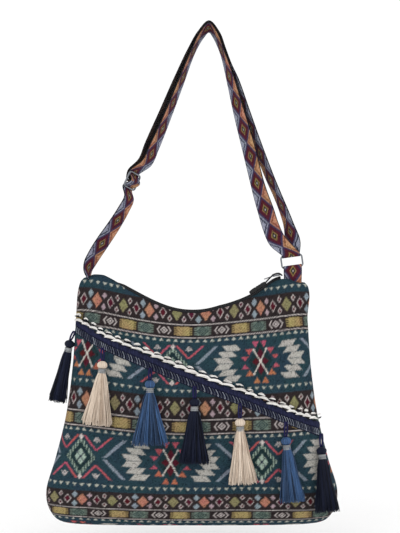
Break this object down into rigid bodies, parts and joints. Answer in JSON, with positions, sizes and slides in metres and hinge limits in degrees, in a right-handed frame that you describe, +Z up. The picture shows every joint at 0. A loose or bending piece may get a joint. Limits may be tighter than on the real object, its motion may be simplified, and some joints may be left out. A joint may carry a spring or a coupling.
{
  "type": "tassel shoulder bag",
  "caption": "Zipped jacquard shoulder bag with a diagonal braid trim, hanging tassels and an adjustable patterned webbing strap, shown hanging from its strap.",
  "frame": {"origin": "underside of the strap at its highest point, where it hangs", "axes": "+Z up, the tasselled front faces -Y, +X to the right seen from the front"},
  "size_m": [0.406, 0.1153, 0.6988],
  "materials": {
    "jacquard_cloth": "matte jacquard weave with a traditional geometric repeat",
    "zip_tape": "black woven tape",
    "zip_chain": "black moulded coil",
    "zip_metal": "plated die casting",
    "pull_cord": "braided cord",
    "pull_grip": "moulded grip",
    "trim_white": "twisted cotton cord",
    "trim_navy": "ribbed ribbon",
    "trim_edging": "looped yarn edging",
    "tassel_navy": "silky thread",
    "tassel_cream": "silky thread",
    "tassel_blue": "silky thread",
    "tassel_band": "wound grey lurex thread",
    "tassel_loop": "dark thread",
    "webbing": "jacquard webbing with a chain of diamonds",
    "strap_metal": "plated steel"
  },
  "bodies": {
    "root": {"front_panel": "jacquard_cloth", "back_panel": "jacquard_cloth", "zip_tape_front": "zip_tape", "zip_tape_back": "zip_tape", "zip_chain": "zip_chain", "zip_slider": "zip_metal", "zip_puller": "zip_metal", "zip_pull_cord": "pull_cord", "zip_pull_grip": "pull_grip", "trim_cord": "trim_white", "trim_ribbon": "trim_navy", "trim_edging": "trim_edging", "tassel_1": "tassel_navy", "tassel_2": "tassel_cream", "tassel_3": "tassel_blue", "tassel_4": "tassel_navy", "tassel_5": "tassel_cream", "tassel_6": "tassel_blue", "tassel_7": "tassel_navy", "tassel_band_1": "tassel_band", "tassel_band_2": "tassel_band", "tassel_band_3": "tassel_band", "tassel_band_4": "tassel_band", "tassel_band_5": "tassel_band", "tassel_band_6": "tassel_band", "tassel_band_7": "tassel_band", "tassel_loop_1": "tassel_loop", "tassel_loop_2": "tassel_loop", "tassel_loop_3": "tassel_loop", "tassel_loop_4": "tassel_loop", "tassel_loop_5": "tassel_loop", "tassel_loop_6": "tassel_loop", "tassel_loop_7": "tassel_loop", "shoulder_strap": "webbing", "strap_ring": "strap_metal", "strap_slider": "strap_metal", "ring_tab": "webbing"}
  },
  "joints": []
}
